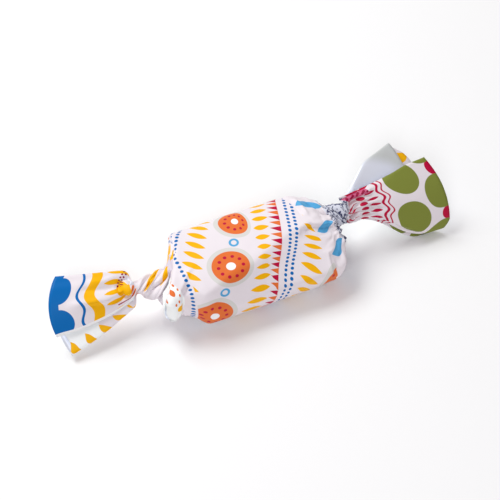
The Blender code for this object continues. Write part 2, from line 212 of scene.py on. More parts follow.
UPWARD = (0.81, 0.58)  # y and z of the way from the near lower corner to the far upper
CUT_LEFT, CUT_RIGHT = 0.40, 0.11  # share by which each end's near lower corner is drawn in
LEFT_END_IN = 2.3  # how far the left end is pushed in
EAR_ANGLE, EAR_SPREAD = -45.0, 30.0  # of the dog-ear round the section, in degrees
EAR_OPENING, EAR_LENGTH = 0.55, 0.30  # where it stands on the left shoulder, by its opening
EAR_HEIGHT, EAR_LEAN = 1.5, 1.2
SEAM_LIFT = 0.15  # of the overlap's outer layer


def wrap_surface(u, v):
    """The bar's wrap and its two necks: superellipses along the sheet's own way, turned by the
    twist, drawn in by pleats, flattened at the near lower corners and slanted at both ends."""
    turn = v / SHEET_WIDTH
    middle = 0.5 * (U_BAR_L + U_BAR_R)
    right = ramp(u, middle - 6.0, middle + 6.0)
    station, moved = slanted(u, v)
    x, opened = meridian(np.where(u < middle, station, u))
    plain = 2.0 * np.pi * (turn - 0.25)
    twist = (TWIST_LEFT * np.clip((U_NECK_L + 6.5 - u) / 11.5, 0.0, 1.0)
             + TWIST_RIGHT * ramp(u, U_NECK_R - 4.0, U_NECK_R + 4.0))
    angle = plain + (angle_at(v) - plain) * ramp(opened, 0.05, 0.8) + np.radians(twist)
    x, opened = coned(angle, np.where(u < middle, station, U_BAR_R), x, opened)
    x = x - np.where(u < middle, moved, 0.0)
    half_width = NECK_RADIUS + (BAR_HALF_WIDTH - NECK_RADIUS) * opened
    half_height = NECK_RADIUS + (BAR_HALF_HEIGHT - NECK_RADIUS) * opened
    power = 2.0 + (BAR_SQUARENESS - 2.0) * ramp(opened, 0.2, 0.95)
    y, z = superellipse(angle, half_width, half_height, power)
    depth = np.where(u < middle, pleat_depth(turn, 4, opened, half_width, half_height),
                     pleat_depth(turn, 8, opened, half_width, half_height))
    keep = 1.0 - depth / np.hypot(y, z)
    y, z = y * keep, z * keep
    keep = near_slope(x, y * BAR_HALF_WIDTH / half_width, z * BAR_HALF_HEIGHT / half_height)
    keep = 1.0 - (1.0 - keep) * ramp(opened, 0.1, 0.7)
    y, z = y * keep, z * keep

    lift = (UPWARD[0] * y + UPWARD[1] * z) / BAR_HALF_WIDTH
    high = np.clip(0.5 + 0.5 * lift, 0.0, 1.2)
    low = np.clip(0.5 - 0.5 * lift, 0.0, 1.2)
    cut = (CUT_RIGHT * ramp(u, U_BAR_R - 7.0, U_BAR_R + 1.0)
           + CUT_LEFT * ramp(u, U_BAR_L + 1.2, U_BAR_L - 4.5) * ramp(opened, 0.45, 0.9))
    around = np.degrees(np.arctan2(z / BAR_HALF_HEIGHT, -y / BAR_HALF_WIDTH))
    ear = tent((around - EAR_ANGLE) / EAR_SPREAD) * tent((opened - EAR_OPENING) / EAR_LENGTH)
    ear = ear * (1.0 - right)
    keep = 1.0 - cut * low ** 2 * opened + EAR_HEIGHT * ear / np.maximum(np.hypot(y, z), 3.0)
    y, z = y * keep, z * keep

    x = x - SLANT_RIGHT * high ** 1.5 * opened * ramp(u, U_BAR_R - 26.0, U_BAR_R + 3.0)
    upper = 0.9 * high * window(opened, 0.06, 0.3, 0.5, 1.0)
    x = x + (LEFT_END_IN * opened + upper) * (1.0 - right) - EAR_LEAN * ear
    under = SEAM_LIFT * ramp(v, OVERLAP + 1.5, OVERLAP - 0.5) * opened
    y = y + (NECK_LEFT[1] + (NECK_RIGHT[1] - NECK_LEFT[1]) * right) * (1.0 - opened)
    centre = NECK_LEFT[2] + (NECK_RIGHT[2] - NECK_LEFT[2]) * right - BAR_HALF_HEIGHT
    z = z + BAR_HALF_HEIGHT + centre * (1.0 - opened)
    z = np.maximum(z - REST_SPOT_DEPTH, 0.0) + under
    return np.stack(np.broadcast_arrays(x, y, z), -1)


# ---------------------------------------------------------------- the fans
# Beyond each neck the spare paper opens again. The twist has folded it like a fan: the left
# one has a front layer with the sheet's free edge and a longer layer behind, and the right
# one a front layer, a taller one that leans back, and a third folded down behind that.

FOLDS_LEFT = (0.0, 14.5, 34.5, 51.5, SHEET_WIDTH)
FOLDS_RIGHT = (0.0, 18.5, 43.0, SHEET_WIDTH)  # from the sheet's upper edge
LEFT_AXIS, LEFT_UP = (-20.5, 0.6, -1.6), (0.0, 0.80, 0.60)
RIGHT_AXIS, RIGHT_UP = (23.0, -1.0, -1.2), (0.0, 0.62, 0.785)
RIGHT_CUT_AT = (0.0, 15.0, 18.5, 21.0, 37.0, 43.0, 45.0, 47.5, 50.0)
RIGHT_CUT = (0.94, 1.05, 1.0, 0.92, 0.80, 0.835, 0.835, 0.885, 0.90)  # share of the fan's length


def soft_ramp(x, blend):
    """0 below zero and x above it, with a rounded corner."""
    return 0.5 * (x + np.sqrt(x * x + blend * blend))


def soft_step(x, blend):
    """0 below zero and 1 above it, with a soft change-over."""
    return 0.5 * (1.0 + x / np.sqrt(x * x + blend * blend))


def fan_frame(axis, up):
    """Unit vectors along the fan, towards its upper edge, and towards its front."""
    axis = np.array(axis) / np.linalg.norm(axis)
    up = np.array(up) - np.dot(up, axis) * axis
    up = up / np.linalg.norm(up)
    front = np.cross(up, axis)
    return axis, up, front if front[1] < 0 else -front


def folded(v, folds, heights, blend):
    """Height across a fan, walking over a sheet that turns back at each fold: straight slopes
    joined by soft ramps."""
    slopes = [(heights[k + 1] - heights[k]) / (folds[k + 1] - folds[k]) for k in range(len(folds) - 1)]
    height = heights[0] + slopes[0] * (v - folds[0])
    for k in range(1, len(slopes)):
        height = height + (slopes[k] - slopes[k - 1]) * soft_ramp(v - folds[k], blend)
    return height


def layered(v, folds, depths, blend):
    """Depth across a fan: one level for each layer, with a soft step at each fold."""
    depth = depths[0] + 0.0 * v
    for k in range(1, len(depths)):
        depth = depth + (depths[k] - depths[k - 1]) * soft_step(v - folds[k], blend)
    return depth


def placed(neck, axes, reach, height, depth):
    """Fan point at a reach from the neck, a height off the fan's middle line and a depth."""
    axis, up, front = axes
    along = np.sqrt(np.maximum(reach ** 2 - height ** 2, (0.10 * reach) ** 2))
    point = neck + along[..., None] * axis + height[..., None] * up + depth[..., None] * front
    return point - np.array([0.0, 0.0, REST_SPOT_DEPTH])


def left_fan(u, v):
    """Left fan: the folded heights narrow to the neck, the front layer bellies forward, and a
    low ridge runs out over it from its root."""
    rho = np.maximum(U_NECK_L - u, 0.0)
    share = np.clip(v / FOLDS_LEFT[1], 0.0, 1.0)
    behind = np.clip((v - FOLDS_LEFT[1]) / (FOLDS_LEFT[2] - FOLDS_LEFT[1]), 0.0, 1.0)
    length = np.where(v < FOLDS_LEFT[1], 1.013 - 0.117 * share ** 2.2, 0.896 + 0.1 * behind)
    length = length - 0.07 * ramp(v, 35.0, 38.0)
    reach = rho * (1.0 + (length - 1.0) * ramp(rho, 3.0, 20.0))
    upper = smaller(reach, 4.35 + 0.28 * reach, 0.5)
    lower = -smaller(0.98 * reach, 1.8 + 0.5 * reach - 0.006 * reach ** 2, 0.5)
    free = -4.9 * (1.0 - np.exp(-reach / 7.5)) + 0.5 * ramp(reach, 17.0, 23.0)
    height = folded(v, FOLDS_LEFT, [free, upper, lower, 0.66 * upper, 0.66 * lower], 0.7)
    gap = 0.5 + 0.5 * ramp(reach, 4.0, 23.0)
    depth = layered(v, FOLDS_LEFT, [gap, -1.2 * gap, 0.25 * gap, -0.45 * gap], 0.55)
    front = ramp(v, 14.0, 11.0)
    depth = depth + 1.4 * np.sin(np.pi * share) * front * ramp(reach, 2.0, 12.0)
    ridge = tent((share - 0.42) / 0.2) * window(reach, 0.0, 5.0, 6.0, 23.0)
    depth = depth + 0.9 * ridge * front
    return placed(NECK_LEFT, fan_frame(LEFT_AXIS, LEFT_UP), reach, height, depth)


def right_fan(u, v):
    """Right fan, walked from the sheet's upper edge: the front layer's top, the lower fold, the
    tall layer's top and the free edge. The tall layer leans back further the higher it climbs,
    and each layer is longer or shorter as it is cut."""
    rho = np.maximum(u - U_NECK_R, 0.0)
    v = SHEET_WIDTH - v
    length = np.interp(v, RIGHT_CUT_AT, RIGHT_CUT)
    reach = rho * (1.0 + (length - 1.0) * ramp(rho, 2.0, 18.0))
    front_top = (smaller(1.15 * reach, 3.85 + 0.205 * reach, 0.8)
                 + 0.35 * np.exp(-((reach - 20.5) / 3.0) ** 2))
    lower = -(smaller(1.2 * reach, 2.6, 0.6) + 9.8 * ramp(reach, 5.6, 24.5))
    back_top = smaller(0.80 * reach + 0.4, 9.6 + 0.155 * reach, 1.2)
    blend = 1.0 + 1.5 * ramp(reach, 10.0, 27.0) * ramp(v, 30.0, 22.0)
    free = 0.86 * lower - 0.5 * window(reach, 4.0, 8.0, 18.0, 26.0)
    height = folded(v, FOLDS_RIGHT, [front_top, lower, back_top, free], blend)
    climb = (height - lower) * ramp(reach, 3.0, 26.0)
    back = -0.9 - 0.22 * climb - 0.007 * climb ** 2
    depth = 0.6 + (back - 0.6) * soft_step(v - FOLDS_RIGHT[1], 1.0)
    depth = depth - 0.8 * soft_step(v - FOLDS_RIGHT[2], 0.7)
    share = np.clip(v / FOLDS_RIGHT[1], 0.0, 1.0)
    depth = depth * (0.5 + 0.5 * ramp(reach, 0.0, 5.0))
    depth = depth + 1.6 * np.sin(np.pi * share) * ramp(reach, 2.0, 14.0)
    return placed(NECK_RIGHT, fan_frame(RIGHT_AXIS, RIGHT_UP), reach, height, depth)


def sheet_surface(u, v):
    """The whole sheet: the wrap, carried over into each fan across its neck."""
    to_left = (ramp(u, U_NECK_L + 0.5, U_NECK_L - 5.0) + 0.0 * v)[..., None]
    to_right = (ramp(u, U_NECK_R - 0.5, U_NECK_R + 4.5) + 0.0 * v)[..., None]
    return (wrap_surface(u, v) * (1.0 - to_left - to_right)
            + left_fan(u, v) * to_left + right_fan(u, v) * to_right)


def crumple(u, v, size, seed):
    """Flat random facets with sharp edges: a random height at each corner of a triangle lattice,
    joined by straight planes, on coordinates that are bent a little so that no row shows."""
    x = u / size + 0.35 * np.sin(1.7 * v / size + seed) + 0.2 * np.sin(3.1 * u / size)
    y = 1.15 * v / size + 0.35 * np.sin(1.3 * u / size + 2.0 * seed) + 0.5 * x
    column, row = np.floor(x).astype(int), np.floor(y).astype(int)
    p, q = x - column, y - row
    heights = np.random.default_rng(seed).uniform(-1.0, 1.0, (61, 59))

    def at(i, j):
        return heights[i % 61, j % 59]

    near, far = at(column, row), at(column + 1, row + 1)
    return np.where(p > q,
                    near * (1.0 - p) + at(column + 1, row) * (p - q) + far * q,
                    near * (1.0 - q) + at(column, row + 1) * (q - p) + far * p)


# Creases: points (u, v) of a line on the paper, the widths over which its left and right sides
# fall away, seen along the line, and its height, in millimetres. Below zero it is a valley.
CREASES = [
    # the bar's left edge, from its upper corner down to the dog-ear, with a valley beside it
    (((40, 45), (39.3, 43.5), (36.7, 36.5), (34, 32.4)), 1.6, 0.4, 0.6),
    (((38.4, 44.8), (37.8, 43.2), (35.3, 36.6), (32.6, 32.4), (30.6, 29.8)), 0.3, 1, -1.7),
    # the dog-ear's left edge, which stands off the gathered paper behind it
    (((35.6, 35), (31.8, 29.8), (29.1, 27.4), (27.6, 26), (27, 23.5), (27.6, 17), (29, 12)),
     1.2, 0.3, 0.5),
    (((33.4, 35.4), (30.4, 31.2), (27.8, 29), (26.2, 27), (25.7, 23.5), (26.3, 17)), 0.3, 0.8, -1.0),
    # gaps between the folds of the left twist, and a low fold beside them
    (((24.6, 49), (25.4, 46.6), (27, 41.8), (28.6, 37.6), (30, 34.5)), 0.35, 0.6, -2.6),
    (((22.2, 59.5), (23.9, 57.3), (25.6, 54.3), (27.4, 52.4)), 0.3, 0.6, -1.6),
    (((25.9, 42), (31.2, 33), (32.4, 40), (34, 47)), 0.5, 0.5, 0.4),
    # the dog-ear: its flat front, the hard fold at its right and the small fold under it
    (((41, 32), (38, 29.5), (35.1, 25.7), (34.2, 24.1), (34.3, 19.3), (33.4, 13)), 0.25, 1.8, 0.5),
    (((37.6, 27.6), (35.9, 25), (35, 23.4), (35, 18.8), (34.6, 15)), 0.8, 0.25, -1.1),
    (((36.5, 20), (36.2, 14), (35, 9)), 0.8, 0.6, 0.5),
    (((28, 20.5), (29, 16), (29.3, 11)), 0.4, 0.7, -0.5),
    # the soft edge between the bar's top and its near side at the left
    (((52, 28.5), (45, 25.5), (39.7, 23), (36.8, 17)), 2.6, 1.2, 0.3),
    (((46, 22.5), (41.5, 19.5), (39, 11)), 1.4, 2, -0.45),
    # folds that run from the right neck over the bar
    (((69, 29.5), (71, 31.8), (74.2, 32.4), (79.5, 29), (83.5, 27.5)), 3, 0.45, 0.75),
    (((71, 30.6), (73.6, 31.6), (75.4, 31), (78.8, 28.4), (81.5, 27)), 0.25, 0.9, -0.65),
    (((76, 42.5), (75.9, 38.5), (75.2, 33.8)), 0.35, 1, 0.65),
    (((75.2, 42), (74.5, 38), (74, 35)), 0.45, 0.8, -0.35),
    (((77.6, 41.5), (78, 37.5), (80.6, 34), (83.5, 30.5)), 0.9, 0.5, -0.75),
    (((78, 45), (80.6, 38), (83.5, 33.5)), 0.5, 1.2, 0.5),
    (((80, 52), (82, 44), (84, 40)), 0.5, 1, 0.5),
    # the end flap low on the right
    (((77, 22), (74, 21.2), (72.6, 16.5), (71, 13)), 0.3, 1.6, 0.6),
    (((79.5, 19.5), (76.5, 16.5), (74, 12.5), (72.5, 9.5)), 0.3, 1, 0.5),
    (((78, 19.5), (75, 19), (73.6, 15)), 1, 0.4, -0.45),
    (((83, 24), (80, 18), (76, 14)), 0.5, 1, 0.6),
    # the light edge that curls round the crushed neck, and the rolled edge of the right fan's root
    (((80, 34), (82.3, 37), (83.4, 44), (84.6, 52), (86.6, 60), (89.4, 68.5)), 0.4, 0.6, 0.5),
    (((88, 67.2), (90.5, 68), (93, 68.1), (97, 68)), 0.9, 0.9, 0.9),
    (((89, 65.2), (92, 65.9), (96, 66)), 0.5, 0.6, -0.6),
    # folds that spread over the right fan from its root
    (((86.5, 60.5), (91, 61.5), (97, 62.5)), 0.5, 1.2, 0.55),
    (((86, 57.5), (90, 57.8), (97, 58.6)), 0.8, 0.5, -0.6),
    (((86, 55), (91, 55.6), (99, 56.2)), 0.5, 0.9, 0.45),
    # the right fan's lower edge, folded a little above its lower fold
    (((92.5, 54.2), (97.7, 53.8), (102.2, 54.2), (109, 53.4)), 1.2, 0.25, 0.6),
    (((92.5, 53), (97.7, 52.6), (102.2, 53.1), (109, 52.2)), 0.25, 0.6, -0.7),
    # folds that spread over the left fan, and the rolled edge at its root
    (((18.3, 4.6), (14.7, 5.2), (4, 7.2)), 1.4, 0.6, 0.75),
    (((18, 3.2), (14.3, 3.6), (11, 4.4), (7, 5.4)), 0.5, 1, -0.6),
    (((17.6, 8), (13, 9), (7, 10.2)), 0.7, 1.4, -0.6),
    (((16.6, 12.6), (13.5, 11.4), (9, 11.8)), 1, 0.7, 0.45),
    (((22.6, 2.8), (19, 2), (16, 1.2)), 0.4, 0.6, 0.55),
    (((22.6, 4.2), (19, 3.6), (16.5, 3)), 0.4, 0.5, -0.45),
]


def creased(u, v, points, left_width, right_width, height):
    """One crease: sharp on its line and falling off as exp(-distance / width) with a width of
    its own on each side, and running out over a fifth of its length at both ends."""
    starts = np.array(points)[:-1]
    steps = np.diff(np.array(points), axis=0)
    lengths = np.hypot(steps[:, 0], steps[:, 1])
    before = np.concatenate([[0.0], np.cumsum(lengths)])
    nearest = np.full(np.broadcast(u, v).shape, 1000.0)
    place = np.zeros(nearest.shape)
    width = np.ones(nearest.shape)
    for k, (start, step, length) in enumerate(zip(starts, steps, lengths)):
        off_u, off_v = u - start[0], v - start[1]
        share = np.clip((off_u * step[0] + off_v * step[1]) / length ** 2, 0.0, 1.0)
        distance = np.hypot(off_u - share * step[0], off_v - share * step[1])
        on_left = step[0] * off_v - step[1] * off_u > 0.0
        closer = distance < nearest
        nearest = np.where(closer, distance, nearest)
        place = np.where(closer, before[k] + share * length, place)
        width = np.where(closer, np.where(on_left, left_width, right_width), width)
    whole = before[-1]
    ends = window(place, 0.0, 0.2 * whole, 0.8 * whole, whole)
    return height * np.exp(-nearest / width) * ends


def gathered_facets(u, v):
    """Facets of handled paper: faint all over and strong on both gathered ends."""
    left = window(u, U_NECK_L - 6.0, U_NECK_L + 2.0, U_BAR_L - 4.0, U_BAR_L + 1.0)
    right = window(u, U_BAR_R - 4.0, U_BAR_R + 2.0, U_NECK_R + 1.0, U_NECK_R + 10.0)
    return (0.10 * crumple(u, v, 6.5, 3) + 0.04 * crumple(u, v, 2.6, 8)
            + left * (0.14 * crumple(u, v, 4.2, 21) + 0.07 * crumple(u, v, 1.7, 34))
            + right * (0.34 * crumple(u, v, 3.6, 21) + 0.30 * crumple(u, v, 1.6, 34)))


KNUCKLE = (19.9, 8.3)  # u and v of the loop of paper on the left fan's root
KNUCKLE_HALF_SIZE = (2.3, 4.6)


def knuckle(u, v):
    """The loop on the left fan's root: half an ellipsoid, with a crumpled groove round its side
    that faces the fan."""
    reach = np.hypot((u - KNUCKLE[0]) / KNUCKLE_HALF_SIZE[0], (v - KNUCKLE[1]) / KNUCKLE_HALF_SIZE[1])
    groove = np.exp(-((reach - 1.12) / 0.16) ** 2) * ramp(u, KNUCKLE[0] + 1.5, KNUCKLE[0] - 0.5)
    dome = np.sqrt(np.clip(1.0 - reach ** 2, 0.0, 1.0))
    return 1.5 * dome + groove * (0.25 * crumple(u, v / 1.5, 0.7, 5) - 0.8)


def dog_ear_flap(u, v):
    """The dog-ear's raised flap: a curved left edge that stands up steeply, an even slope down
    to the right from it, and a soft end above and below."""
    left_edge = 28.6 + 0.075 * np.abs(v - 21.0) ** 1.5
    slope = ramp(u, left_edge, left_edge + 0.6) * np.clip((35.4 - u) / 5.6, 0.0, 1.0)
    return 2.3 * slope * window(v, 11.0, 15.0, 21.0, 30.0)


def bump(u, v, middle_u, middle_v, reach_u, reach_v):
    """A smooth bump of height 1: exp of less the squared distance, in reaches each way."""
    return np.exp(-((u - middle_u) / reach_u) ** 2 - ((v - middle_v) / reach_v) ** 2)


BEND_START, BEND = 62.0, 3.5  # the v where the right neck starts to bend outwards, and how far


def crushed_right(u, v):
    """The crushed paper of the right end: a finely crumpled ring round the neck with a crest on
    it, a bump on the near shoulder, coarser folds and a bump on the fan's root, and the sheet's
    upper edge turned down a little along that root."""
    bend = BEND * ramp(v, BEND_START, SHEET_WIDTH)
    ring = ramp(u, 79.5, 81.5) * ramp(u - bend, 88.0, 85.5)
    root = window(u, 84.5, 87.0, 91.5, 98.0) * ramp(v, 42.0, 48.0)
    crest = bump(u, v, 85.6, 59.0, 1.1, 6.0)
    shoulder = bump(u, v, 81.0, 22.0, 2.2, 6.0)
    hem = ramp(v, 68.6, SHEET_WIDTH) * window(u, 90.0, 93.0, 99.0, 104.0)
    return (0.65 * ring * crumple(u, v / 2.4, 1.0, 13)
            + root * (0.75 * crumple(u / 2.2, v, 1.6, 45) + 0.35 * crumple(u, v, 1.0, 46))
            + crest * (1.4 + 0.7 * crumple(u, v / 2.0, 0.8, 51))
            + shoulder * (0.8 + 0.5 * crumple(u, v, 1.1, 17))
            + 0.8 * bump(u, v, 89.0, 51.0, 2.2, 3.5) - 0.5 * hem)


def relief(u, v):
    """How far the sheet stands off its even surface: the sum of all that is raised on it."""
    height = gathered_facets(u, v) + knuckle(u, v) + dog_ear_flap(u, v) + crushed_right(u, v)
    for crease in CREASES:
        height = height + creased(u, v, *crease)
    return height


def spaced(length, step):
    """Stations along a length whose spacing follows step, a function of the place."""
    fine = np.linspace(0.0, length, 4000)
    count = np.concatenate([[0.0], np.cumsum(np.diff(fine) / step(fine[:-1]))])
    return np.interp(np.linspace(0.0, count[-1], int(count[-1]) + 1), count, fine)


def row_step(u):
    """Spacing of the sheet's rows: fine where it is gathered, wider on the bar and widest on
    the fans."""
    left = window(u, U_NECK_L - 8.0, U_NECK_L - 4.0, U_BAR_L + 1.0, U_BAR_L + 3.0)
    right = window(u, U_BAR_R - 8.0, U_BAR_R - 5.0, U_NECK_R + 10.0, U_NECK_R + 14.0)
    coarse = np.where((u < U_NECK_L) | (u > U_NECK_R), 0.8, 0.64)
    return coarse - (coarse - 0.22) * np.maximum(left, right)


def column_step(v):
    """Spacing of the sheet's columns: finer where the camera sees the bar and the right fan, and
    finest along the crease low on that fan."""
    seen_bar = window(v, 4.0, 9.0, 44.0, 50.0)
    seen_fan = ramp(v, 47.0, 51.0)
    return 0.66 - 0.24 * seen_bar - 0.18 * seen_fan - 0.14 * tent((v - 53.5) / 2.5)


def grid_mesh(name, points, uv):
    """A mesh over a grid of points in millimetres, with a UV map; faces run along both ways."""
    rows, columns = points.shape[:2]
    index = np.arange(rows * columns).reshape(rows, columns)
    quads = np.stack([index[:-1, :-1], index[1:, :-1], index[1:, 1:], index[:-1, 1:]], -1).reshape(-1)
    mesh = bpy.data.meshes.new(name)
    mesh.vertices.add(rows * columns)
    mesh.vertices.foreach_set("co", (points * MM).astype(np.float32).ravel())
    mesh.loops.add(len(quads))
    mesh.loops.foreach_set("vertex_index", quads)
    mesh.polygons.add(len(quads) // 4)
    mesh.polygons.foreach_set("loop_start", np.arange(0, len(quads), 4))
    mesh.polygons.foreach_set("use_smooth", np.ones(len(quads) // 4, bool))
    layer = mesh.uv_layers.new(name="paper")
    layer.data.foreach_set("uv", uv.reshape(-1, 2)[quads].astype(np.float32).ravel())
    mesh.update(calc_edges=True)
    mesh.validate()
    return mesh


def add_object(name, data):
    """A new object in the scene, at the origin."""
    thing = bpy.data.objects.new(name, data)
    scene.collection.objects.link(thing)
    return thing


u_rows = spaced(SHEET_LENGTH, row_step)[:, None]
v_columns = spaced(SHEET_WIDTH, column_step)[None, :]
even = sheet_surface(u_rows, v_columns)
along = np.gradient(even, axis=0)
across = np.gradient(even, axis=1)
normal = np.cross(along, across)
normal /= np.linalg.norm(normal, axis=2, keepdims=True)
sheet_points = even + normal * relief(u_rows, v_columns)[..., None]
sheet_points[..., 2] = np.maximum(sheet_points[..., 2], 0.0)
paper_place = np.stack(np.broadcast_arrays(u_rows, v_columns), -1) / SHEET_LENGTH

wrapper = add_object("wrapper_sheet", grid_mesh("wrapper_sheet", sheet_points, paper_place))

PAPER_THICKNESS = 0.1
wall = wrapper.modifiers.new("paper", "SOLIDIFY")
wall.thickness = PAPER_THICKNESS * MM
wall.offset = -1.0
wall.material_offset = 1
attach(wrapper, "root")
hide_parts("wrapped_sweet")

# ---------------------------------------------------------------- the print
# Flexo print on the outside of the paper: slanted rows of plain round and pointed marks on a
# faint lilac ground, a bolder border at each end of the sheet, and an unprinted white margin
# along the sheet's lower edge, up to the right border.


def colour(red, green, blue):
    """A linear colour from the 0 to 255 values of a colour picker."""
    share = np.array([red, green, blue]) / 255.0
    linear = np.where(share <= 0.04045, share / 12.92, ((share + 0.055) / 1.055) ** 2.4)
    return (*linear.tolist(), 1.0)


# painted highlight: a bluish white, brighter than the paper, for parts that should look lit
WHITE_PAPER = colour(250, 250, 251)
BLUISH_PAINTED_HIGHLIGHT = colour(252, 255, 255)
LILAC_GROUND = colour(238, 230, 235)
GOLD = colour(250, 184, 0)
ORANGE = colour(232, 116, 54)
CRIMSON = colour(192, 8, 62)
WINE = colour(150, 6, 58)
BLUE = colour(0, 106, 182)
SKY = colour(88, 170, 220)
PALE_GREY = colour(220, 218, 214)


def connect(value, socket):
    """Links another socket to a socket, or sets its number or colour."""
    if isinstance(value, bpy.types.NodeSocket):
        socket.id_data.links.new(value, socket)
    else:
        socket.default_value = value


def fill(node, inputs):
    """Gives a node's inputs their links and values, by name."""
    for name, value in inputs.items():
        connect(value, node.inputs[name])


def tree_of(values):
    """The node tree of the first of some values that is a socket; the others are numbers."""
    return next(value.id_data for value in values if isinstance(value, bpy.types.NodeSocket))


def maths(operation, *values):
    """The output of one Math node."""
    node = tree_of(values).nodes.new("ShaderNodeMath")
    node.operation = operation
    for socket, value in zip(node.inputs, values):
        connect(value, socket)
    return node.outputs[0]


def times(a, b):
    """a times b."""
    return maths("MULTIPLY", a, b)


def minus(a, b):
    """a less b."""
    return maths("SUBTRACT", a, b)


def distance(x, y):
    """The root of x squared and y squared."""
    return maths("SQRT", maths("ADD", times(x, x), times(y, y)))


def off_nearest(value, spacing):
    """How far a value is from the nearest whole multiple of a spacing."""
    nearest = maths("ROUND", maths("DIVIDE", value, spacing))
    return minus(value, times(nearest, spacing))


def eased(value, start, end, height=1.0):
    """A smooth step from 0 where the value is at start to a height where it is at end."""
    node = value.id_data.nodes.new("ShaderNodeMapRange")
    node.interpolation_type = "SMOOTHSTEP"
    fill(node, {"Value": value, "From Min": start, "From Max": end, "To Max": height})
    return node.outputs["Result"]


PRINT_EDGE = 0.05  # half the width of a mark's soft outline, in millimetres


def edge(inside):
    """A mask with a crisp printed edge: 0 outside, 1 where the inside distance is above 0."""
    return eased(inside, -PRINT_EDGE, PRINT_EDGE)


def above(value, low):
    """1 above a value, with a crisp edge."""
    return edge(minus(value, low))


def below(value, high):
    """1 below a value, with a crisp edge."""
    return edge(minus(high, value))


def between(value, low, high):
    """1 between two values, with crisp edges."""
    return times(above(value, low), below(value, high))


def inked(ground, ink, mask):
    """Ink laid over a ground colour where the mask is 1."""
    node = mask.id_data.nodes.new("ShaderNodeMix")
    node.data_type = "RGBA"
    fill(node, {"Factor": mask, "A": ground, "B": ink})
    return node.outputs["Result"]


def label_of(key):
    """A socket's name from an argument's: half_length is Half length."""
    return key.replace("_", " ").capitalize()


def new_group(name, rule, inputs, outputs="Mask"):
    """A node group of plain numbers. Its named inputs, with 0 to start from, are the rule's
    arguments, and its named outputs are what the rule makes of them."""
    tree = bpy.data.node_groups.new(name, "ShaderNodeTree")
    inputs, outputs = inputs.split(", "), outputs.split(", ")
    for label in inputs:
        tree.interface.new_socket(label, in_out="INPUT", socket_type="NodeSocketFloat")
    for label in outputs:
        tree.interface.new_socket(label, in_out="OUTPUT", socket_type="NodeSocketFloat")
    inside = tree.nodes.new("NodeGroupInput").outputs
    out = tree.nodes.new("NodeGroupOutput").inputs
    for label, value in zip(outputs, rule(*[inside[label] for label in inputs])):
        connect(value, out[label])
    return tree


def use_group(group, **values):
    """A group placed in a material with its own values."""
    node = tree_of(values.values()).nodes.new("ShaderNodeGroup")
    node.node_tree = group
    for key, value in values.items():
        connect(value, node.inputs[label_of(key)])
    return node.outputs


def row_places(u, v, lean, start, spacing, pitch, shift):
    """Rows of repeats over the paper: turns u and v by a lean, then takes the distance to the
    middle of the nearest row, and along it to the middle of the nearest repeat."""
    cosine, sine = maths("COSINE", lean), maths("SINE", lean)
    along = maths("ADD", times(u, cosine), times(v, sine))
    across = minus(times(v, cosine), times(u, sine))
    return off_nearest(minus(along, shift), pitch), off_nearest(minus(across, start), spacing)


def disc_mask(along, across, radius):
    """A disc: the radius less the distance from its middle."""
    return [edge(minus(radius, distance(along, across)))]


def dash_mask(along, across, half_length, half_width, skew):
    """A pointed dash: its half width shrinks with the square of the place along its length.
    Skew slants it against the row."""
    share = maths("DIVIDE", across, half_length)
    width = times(minus(1.0, times(share, share)), half_width)
    return [edge(minus(width, maths("ABSOLUTE", minus(along, times(across, skew)))))]


def band_mask(along, across, wavelength, height, half_width):
    """A waved band: its half width less the distance from a sine along the row."""
    turn = times(maths("DIVIDE", along, wavelength), 2.0 * np.pi)
    off = maths("ABSOLUTE", minus(across, times(maths("SINE", turn), height)))
    return [edge(minus(half_width, off))]


def pennant_mask(along, across, height, half_width):
    """A triangle standing on the row: its half width falls in a straight line to its tip."""
    width = times(minus(1.0, maths("DIVIDE", across, height)), half_width)
    return [times(edge(minus(width, maths("ABSOLUTE", along))), edge(across))]


BEADS = 10  # in a ring
BEAD_RING_RADIUS, BEAD_RADIUS = 2.85, 0.42


def bead_ring_mask(along, across):
    """A ring of small discs: the angle round the middle is cut into equal steps, and each
    step holds one disc at the ring's radius."""
    angle = maths("ARCTAN2", across, along)
    step = 2.0 * np.pi / BEADS
    nearest = maths("SNAP", maths("ADD", angle, 0.5 * step), step)
    aside = times(minus(angle, nearest), BEAD_RING_RADIUS)
    away = minus(distance(along, across), BEAD_RING_RADIUS)
    return [edge(minus(BEAD_RADIUS, distance(away, aside)))]


rows = new_group("rows over the paper", row_places, "U, V, Lean, Start, Spacing, Pitch, Shift",
                 "Along, Across")
disc = new_group("disc mark", disc_mask, "Along, Across, Radius")
dash = new_group("dash mark", dash_mask, "Along, Across, Half length, Half width, Skew")
band = new_group("waved band", band_mask, "Along, Across, Wavelength, Height, Half width")
pennant = new_group("pennant mark", pennant_mask, "Along, Across, Height, Half width")
bead_ring = new_group("ring of beads", bead_ring_mask, "Along, Across")


def mark(group, line, **sizes):
    """The mask of one kind of mark, repeated along a row."""
    return use_group(group, along=line["Along"], across=line["Across"], **sizes)["Mask"]


LEAN = np.radians(62.0)  # of the rows on the bar, against the sheet's length
ROW_REPEAT = 31.0
DISC_PITCH = 14.0


